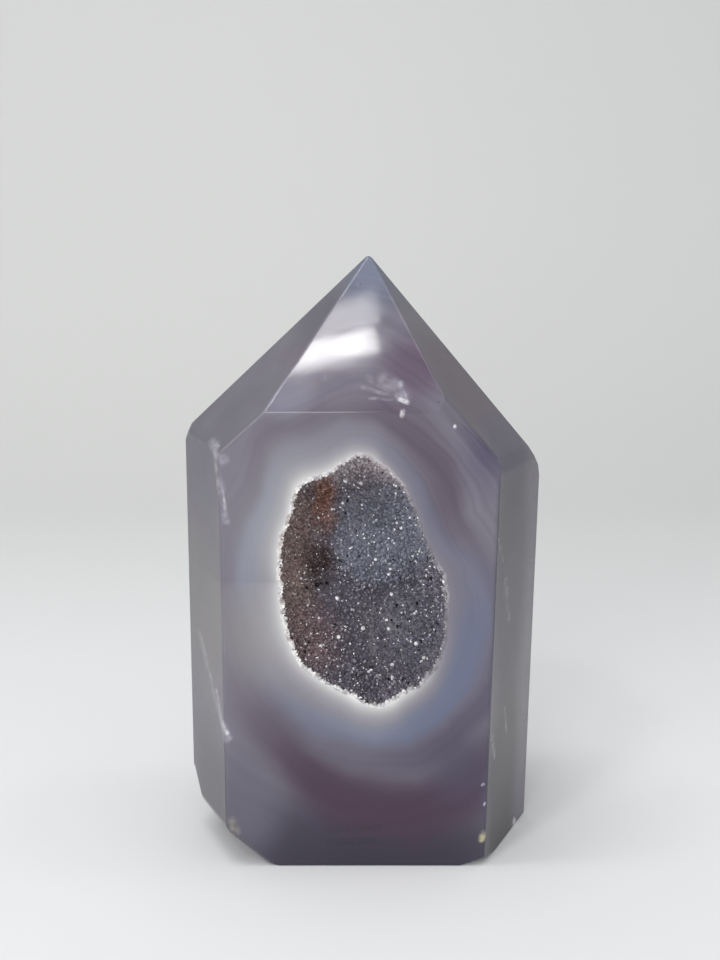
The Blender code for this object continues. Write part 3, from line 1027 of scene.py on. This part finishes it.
def bed_finish():
    """The quartz skin between the crystals, with painted shade that makes it darker than they are except
    along the rim.
    """
    graph = Graph("quartz_bed")
    place = graph.place()
    _, y, _ = graph.split(place)
    # Painted shade: the skin between the crystals is darkened, fading out along the rim
    shade = graph.fade(y, FRONT_Y + BED_PAINTED_SHADE_DEPTH, FRONT_Y, BED_PAINTED_SHADE)
    colour = graph.vector("SCALE", druse_colour(graph, place), scale=shade)
    graph.feed(graph.shader.inputs["Base Color"], colour)
    graph.shader.inputs["Roughness"].default_value = BED_ROUGHNESS
    graph.bump(graph.noise(place, BED_GRAIN_SIZE), BED_GRAIN_HEIGHT)
    return graph.material


# Stage: a sheet of paper, flat from in front to behind the stone, then curving up to a wall; the spans
# over which its colour turns into the wall's painted shade, and that into the deeper painted shade of its
# right side; and its finish
SWEEP_FRONT = -1500.0
SWEEP_BACK = 185.0
SWEEP_CURVE = 170.0
SWEEP_TOP = 1200.0
SWEEP_HALF_WIDTH = 1600.0
SWEEP_STEPS = 24
SWEEP_COLOUR = tint(234, 235, 237)
WALL_PAINTED_SHADE = tint(217, 218, 217)
WALL_SHADED = tint(214, 215, 215)
WALL_FADE = (0.0, 260.0)
SHADED_SIDE = (-60.0, 200.0)
PAPER_ROUGHNESS = 0.9
PAPER_SPECULAR = 0.1

# Camera: place, pitch below the horizontal, lens for a 36 mm long side, and the nearest distance drawn
CAMERA_PLACE = (-0.359, -198.951, 93.444)
CAMERA_PITCH = 12.5
CAMERA_LENS = 56.0
CAMERA_SENSOR = 36.0
CAMERA_NEAREST = 10.0

# Lights: centre, what each looks at, turn about that line, width and length, and brightness against white
SOFTBOXES = {
    "overhead panel": ((-54.7, -172.3, 500), (-54.7, -172.3, 0), 13.7, (126, 11), 24.0),
    "overhead spill": ((-54.7, -158.0, 500), (-54.7, -158.0, 0), 13.7, (126, 13), 8.0),
    "left edge light": ((-150, -30, 520), (-8, -13, 64), 0.0, (60, 200), 9.0),
    "right edge light": ((230, 10, 520), (9, -14, 64), 0.0, (60, 110), 6.0),
    "ceiling light": ((-60, 0, 700), (-60, 0, 0), 0.0, (500, 380), 0.8),
    "left window": ((-200, -540, 230), (0, 0, 35), 0.0, (420, 340), 3.8),
    "sparkle lamp": ((-170, -290, 420), (0, 0, 40), 0.0, (45, 45), 30.0),
}
LIGHT_COLOUR = (1.0, 0.99, 0.98)
SKY_COLOUR = (0.985, 0.995, 1.0, 1.0)
SKY_BRIGHTNESS = 0.55


def build_sweep():
    """The plain pale paper that the stone stands on, curving up behind it, with painted shade up the wall.
    """
    profile = [(SWEEP_FRONT, 0.0), (SWEEP_BACK, 0.0)]
    for step in range(1, SWEEP_STEPS + 1):
        turn = math.pi / 2 * step / SWEEP_STEPS
        profile.append((SWEEP_BACK + SWEEP_CURVE * math.sin(turn), SWEEP_CURVE * (1 - math.cos(turn))))
    profile.append((SWEEP_BACK + SWEEP_CURVE, SWEEP_TOP))
    bm = bmesh.new()
    verts = [bm.verts.new(Vector((-SWEEP_HALF_WIDTH, y, z)) * MM) for y, z in profile]
    edges = [bm.edges.new(pair) for pair in zip(verts, verts[1:])]
    drawn = bmesh.ops.extrude_edge_only(bm, edges=edges)["geom"]
    for vert in [item for item in drawn if isinstance(item, bmesh.types.BMVert)]:
        vert.co.x = SWEEP_HALF_WIDTH * MM
    bmesh.ops.recalc_face_normals(bm, faces=bm.faces[:])
    sweep = make_object("paper_sweep", bm)
    sweep.data.shade_smooth()
    graph = Graph("pale_paper")
    x, y, _ = graph.split(graph.place())
    # Painted shade: the paper darker up the wall than on the floor, and darker again on the wall's right
    # side
    wall = graph.mix(graph.fade(x, *SHADED_SIDE), WALL_PAINTED_SHADE, WALL_SHADED)
    graph.feed(graph.shader.inputs["Base Color"], graph.mix(graph.fade(y, *WALL_FADE), SWEEP_COLOUR, wall))
    graph.shader.inputs["Roughness"].default_value = PAPER_ROUGHNESS
    graph.shader.inputs["Specular IOR Level"].default_value = PAPER_SPECULAR
    sweep.data.materials.append(graph.material)


def add_softbox(name, centre, target, spin, size, brightness):
    """A flat lamp that looks at a point, as bright as this against white paper in full light."""
    light = bpy.data.lights.new(name, "AREA")
    light.shape = "RECTANGLE"
    light.size, light.size_y = size[0] * MM, size[1] * MM
    light.energy = brightness * math.pi * light.size * light.size_y
    light.color = LIGHT_COLOUR
    lamp = link_object(name, light)
    lamp.location = Vector(centre) * MM
    aim = (Vector(target) - Vector(centre)).to_track_quat("-Z", "Y").to_matrix()
    lamp.rotation_euler = (aim @ Matrix.Rotation(math.radians(spin), 3, "Z")).to_euler()
    lamp.visible_camera = False


def light_scene():
    """Soft daylight from all round, and the softboxes."""
    world = bpy.data.worlds.new("soft_daylight")
    bpy.context.scene.world = world
    world.use_nodes = True
    sky = world.node_tree.nodes["Background"]
    sky.inputs["Color"].default_value = SKY_COLOUR
    sky.inputs["Strength"].default_value = SKY_BRIGHTNESS
    for name, settings in SOFTBOXES.items():
        add_softbox(name, *settings)
    bpy.context.scene.view_settings.view_transform = "Standard"


def add_camera():
    """The photograph's viewpoint."""
    lens = bpy.data.cameras.new("camera")
    lens.lens = CAMERA_LENS
    lens.sensor_width = CAMERA_SENSOR
    lens.clip_start = CAMERA_NEAREST * MM
    camera = link_object("camera", lens)
    camera.location = Vector(CAMERA_PLACE) * MM
    camera.rotation_euler = (math.radians(90 - CAMERA_PITCH), 0, 0)
    bpy.context.scene.camera = camera


def build_part():
    """The stone, its crystal bed and its crystals, each riding on the part's one body."""
    stone = build_stone()
    stone.data.materials.append(agate_finish())
    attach(stone, "root")
    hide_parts("agate_tower")
    bed = build_bed()
    bed.data.materials.append(bed_finish())
    crystals = build_crystals()
    crystals.data.materials.append(crystal_finish())
    for piece in (bed, crystals):
        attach(piece, "root")
        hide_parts("druzy_crust")


add_camera()
build_part()
build_sweep()
light_scene()
